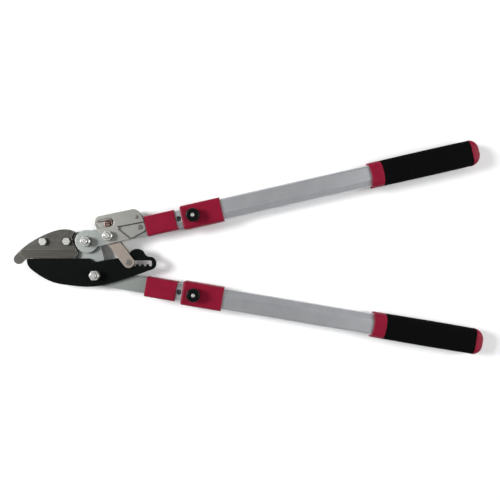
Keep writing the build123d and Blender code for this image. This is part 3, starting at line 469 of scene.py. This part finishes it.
# Crimson glass-filled nylon: deep red, semi-matt from the mould's spark texture.
crimson = moulded("crimson_glass_filled_nylon", "710A25", "86132D", "A0384D", 0.42, 0.45 * MM, 12 * MM)
for side in SIDES:
    dress(crimson, f"{side}_sleeve", f"{side}_clamp", f"{side}_grip_ring", f"{side}_end_cap")
    dress(zinc, f"{side}_clamp_screws", f"{side}_tang_rivets")

# ---- Locks, packers and bushes
# Each lock is a spring plunger of turned steel with a fluted knob pressed on its end. The knob, the packer
# beside the tang and the bush that guides the inner tube are moulded in black acetal.

# Black acetal: slick and dark, with soft wide highlights.
acetal = moulded("black_acetal", "060707", "0D0E0E", "2B2D2D", 0.3, 0.35 * MM, 6 * MM)
for side in SIDES:
    dress(acetal, f"{side}_lock_knob", f"{side}_tang_packer", f"{side}_tube_bush")
    dress(zinc, f"{side}_lock_pin")

# ---- Foam grips
# A soft sleeve of closed-cell foam rubber pulled over each outer tube between the ring and the end cap. It is
# extruded, cut to length and slightly barrelled where it stretches over the tube, with a fine open skin.
RING_POINTS = 96
grip_squareness = 3.6
grip_lip = 1.6 * MM
grip_barrel = 0.35 * MM
foam_waviness = 0.10 * MM
foam_wave = 22 * MM
foam_cell = 0.7 * MM
foam_patch = 5 * MM
lip_steps = 5
grip_steps = 24
ring_bow = 2.0 * MM
bow_reach = 12 * MM
seat_gap = 0.05 * MM
tube_flank_width = 9.0 * MM
tube_flank_drop = 5.5 * MM


def handle_place(side, node):
    """A node's middle axis point at its front, its length, half width and half height on its handle."""
    forward = along[side]
    across = Vector((-forward.y, forward.x, 0))
    points = [vertex.co for vertex in frame["nodes"][node].data.vertices]
    stations = [point.dot(forward) for point in points]
    offsets = [point.dot(across) for point in points]
    heights = [point.z for point in points]
    middle = (min(offsets) + max(offsets)) / 2
    level = (min(heights) + max(heights)) / 2
    origin = forward * min(stations) + across * middle + Vector((0, 0, level))
    half_width = (max(offsets) - min(offsets)) / 2
    half_height = (max(heights) - min(heights)) / 2
    return origin, max(stations) - min(stations), half_width, half_height


def soft_outline(turn, half_width, half_height, squareness):
    """A point of a rounded, slightly pillowed rectangle, at one turn about the handle's axis."""
    side_part = abs(cos(turn) / half_width) ** squareness
    top_part = abs(sin(turn) / half_height) ** squareness
    reach = (side_part + top_part) ** (-1 / squareness)
    return reach * cos(turn), reach * sin(turn)


def tube_outline(turn, half_width, half_height, inward):
    """A point on the handle tube's outside, at one turn about its axis; its flank is on one side."""
    slope = Vector((tube_flank_drop, tube_flank_width)).normalized()
    slope_reach = slope.x * half_width + slope.y * (half_height - tube_flank_drop)
    lateral, upward = cos(turn), sin(turn)
    reaches = [half_width / max(abs(lateral), 1e-6), half_height / max(abs(upward), 1e-6)]
    flank_part = slope.x * lateral * inward + slope.y * abs(upward)
    if flank_part > 1e-6:
        reaches.append(slope_reach / flank_part)
    reach = min(reaches)
    return reach * lateral, reach * upward


def lip_rows(start, lip, backwards):
    """Stations and insets that round one end of a sleeve, from its end face to its side."""
    rows = []
    for step in range(lip_steps + 1):
        turn = radians(90 * step / lip_steps)
        inset = lip * (1 - sin(turn))
        station = lip * (1 - cos(turn))
        rows.append((start - station if backwards else start + station, inset))
    return list(reversed(rows)) if backwards else rows


def build(name, points, faces, finish, sharp_angle):
    """A mesh object of the given points and faces, with smooth shading and one finish."""
    mesh = bpy.data.meshes.new(name)
    mesh.from_pydata(points, [], faces)
    shape = bmesh.new()
    shape.from_mesh(mesh)
    bmesh.ops.recalc_face_normals(shape, faces=shape.faces)
    shape.to_mesh(mesh)
    shape.free()
    mesh.shade_smooth()
    mesh.set_sharp_from_angle(angle=radians(sharp_angle))
    mesh.materials.append(finish)
    piece = bpy.data.objects.new(name, mesh)
    bpy.context.scene.collection.objects.link(piece)
    return piece


def loops_to_faces(loops, closed):
    """Quads between neighbouring rings of points; a closed list joins its last ring to its first."""
    faces = []
    pairs = list(zip(loops, loops[1:] + loops[:1] if closed else loops[1:]))
    for near, far in pairs:
        for step in range(RING_POINTS):
            after = (step + 1) % RING_POINTS
            faces.append((near[step], near[after], far[after], far[step]))
    return faces


# Black foam rubber: the deepest black on the tool, dull, with cells about 0.4 mm across,
# drawn at 0.7 mm to show.
foam, tree, shader, place = new_finish("black_closed_cell_foam", 0.0, 0.86)
shader.inputs["IOR"].default_value = 1.45
shader.inputs["Specular IOR Level"].default_value = 0.06
cells = add(tree, "TexVoronoi", {"Vector": place, "Scale": 1 / foam_cell})
skin = add(tree, "TexNoise", {"Vector": place, "Scale": 1 / foam_patch, "Detail": 4})
dark = add(
    tree,
    "MixRGB",
    {"Fac": skin.outputs["Fac"], "Color1": linear("050505"), "Color2": linear("101111")},
)
cell_mask = add(
    tree, "MapRange", {"Value": cells.outputs["Distance"], "From Min": 0.2, "From Max": 0.7, "To Max": 0.5}
)
celled = add(
    tree,
    "MixRGB",
    {"Fac": cell_mask.outputs["Result"], "Color1": linear("030303"), "Color2": dark.outputs["Color"]},
)
tree.links.new(celled.outputs["Color"], shader.inputs["Base Color"])
bump = add(
    tree, "Bump", {"Strength": 0.5, "Distance": 0.12 * MM, "Height": cells.outputs["Distance"]}
)
tree.links.new(bump.outputs["Normal"], shader.inputs["Normal"])

for side, inward in zip(SIDES, (-1, 1)):
    forward = along[side]
    across = Vector((-forward.y, forward.x, 0))
    origin, length, half_width, half_height = handle_place(side, f"{side}_grip")
    _, _, tube_half_width, tube_half_height = handle_place(side, f"{side}_outer_tube")
    rows = lip_rows(0, grip_lip, False)
    for step in range(1, grip_steps):
        share = step / grip_steps
        rows.append((grip_lip + share * (length - 2 * grip_lip), 0))
    rows += lip_rows(length, grip_lip, True)
    points = []
    loops = []
    for station, inset in rows:
        share = station / length
        barrel = grip_barrel * (1 - 4 * share * (1 - share))
        loop = []
        for step in range(RING_POINTS):
            turn = 2 * pi * step / RING_POINTS
            y, z = soft_outline(
                turn, half_width - inset - barrel, half_height - inset - barrel * 0.6, grip_squareness
            )
            bow = ring_bow * (1 - (y / half_width) ** 2) * max(0, 1 - station / bow_reach)
            at = origin + forward * (station + bow) + across * y + Vector((0, 0, z))
            wave = noise.noise(at / foam_wave) - 0.35
            inwards = (across * y + Vector((0, 0, z))).normalized() * min(wave, 0) * foam_waviness
            loop.append(len(points))
            points.append(at + inwards)
        loops.append(loop)
    for station in (length, 0):
        loop = []
        for step in range(RING_POINTS):
            turn = 2 * pi * step / RING_POINTS
            y, z = tube_outline(turn, tube_half_width + seat_gap, tube_half_height + seat_gap, inward)
            bow = ring_bow * (1 - (y / half_width) ** 2) if station == 0 else 0
            loop.append(len(points))
            points.append(origin + forward * (station + bow) + across * y + Vector((0, 0, z)))
        loops.append(loop)
    grip = build(f"{side}_foam_grip", points, loops_to_faces(loops, True), foam, 60)
    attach(grip, f"{side}_outer_handle")
    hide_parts(f"{side}_grip")

# ---- Floor, light and camera
# The tool lies on a pale matt table between two softboxes, one beyond the jaws and one beyond the grips, in a
# pale dim room. Flat tops are bright, and the flanks that face across the tool are a little darker.
table_half = 12.0
table_drop = 0.2 * MM
mottle_size = 60 * MM

# Pale matt laminate: white with the slightest mottling.
laminate, tree, shader, place = new_finish("pale_matt_laminate", 0.0, 0.8)
mottle = add(tree, "TexNoise", {"Vector": place, "Scale": 1 / mottle_size, "Detail": 3})
pale = add(
    tree,
    "MixRGB",
    {"Fac": mottle.outputs["Fac"], "Color1": linear("F4F4F4"), "Color2": linear("FAFAFA")},
)
tree.links.new(pale.outputs["Color"], shader.inputs["Base Color"])
corners = [(-1, -1), (1, -1), (1, 1), (-1, 1)]
table_points = [(table_half * x, table_half * y, -table_drop) for x, y in corners]
table = build("table_top", table_points, [(0, 1, 2, 3)], laminate, 60)

middle = Vector((0.227, 0.0373, 0))
camera_height = 0.753
horizon_strength = 0.6
zenith_strength = 0.22
world = bpy.data.worlds.new("pale_studio")
world.use_nodes = True
sky = world.node_tree.nodes["Background"]
sky.inputs["Color"].default_value = linear("F6F8FA")
direction = add(world.node_tree, "TexCoord", {}).outputs["Generated"]
upward = add(world.node_tree, "SeparateXYZ", {"Vector": direction}).outputs["Z"]
falling = add(
    world.node_tree, "MapRange", {"Value": upward, "To Min": horizon_strength, "To Max": zenith_strength}
)
world.node_tree.links.new(falling.outputs["Result"], sky.inputs["Strength"])
bpy.context.scene.world = world


def softbox(name, place, size, power):
    """A square area light that faces the middle of the tool."""
    lamp = bpy.data.lights.new(name, "AREA")
    lamp.size = size
    lamp.energy = power
    holder = bpy.data.objects.new(name, lamp)
    bpy.context.scene.collection.objects.link(holder)
    holder.location = place
    holder.rotation_euler = (middle - Vector(place)).to_track_quat("-Z", "Y").to_euler()


softbox("key_softbox", (-2.2, 0.5, 1.6), 1.0, 98.0)
softbox("fill_softbox", (2.6, 0.2, 1.8), 1.3, 54.0)

camera_data = bpy.data.cameras.new("camera")
camera_data.lens = 36
camera_data.sensor_width = 36
camera = bpy.data.objects.new("camera", camera_data)
bpy.context.scene.collection.objects.link(camera)
camera.location = (middle.x, middle.y, camera_height)
bpy.context.scene.camera = camera
bpy.context.scene.view_settings.view_transform = "Standard"
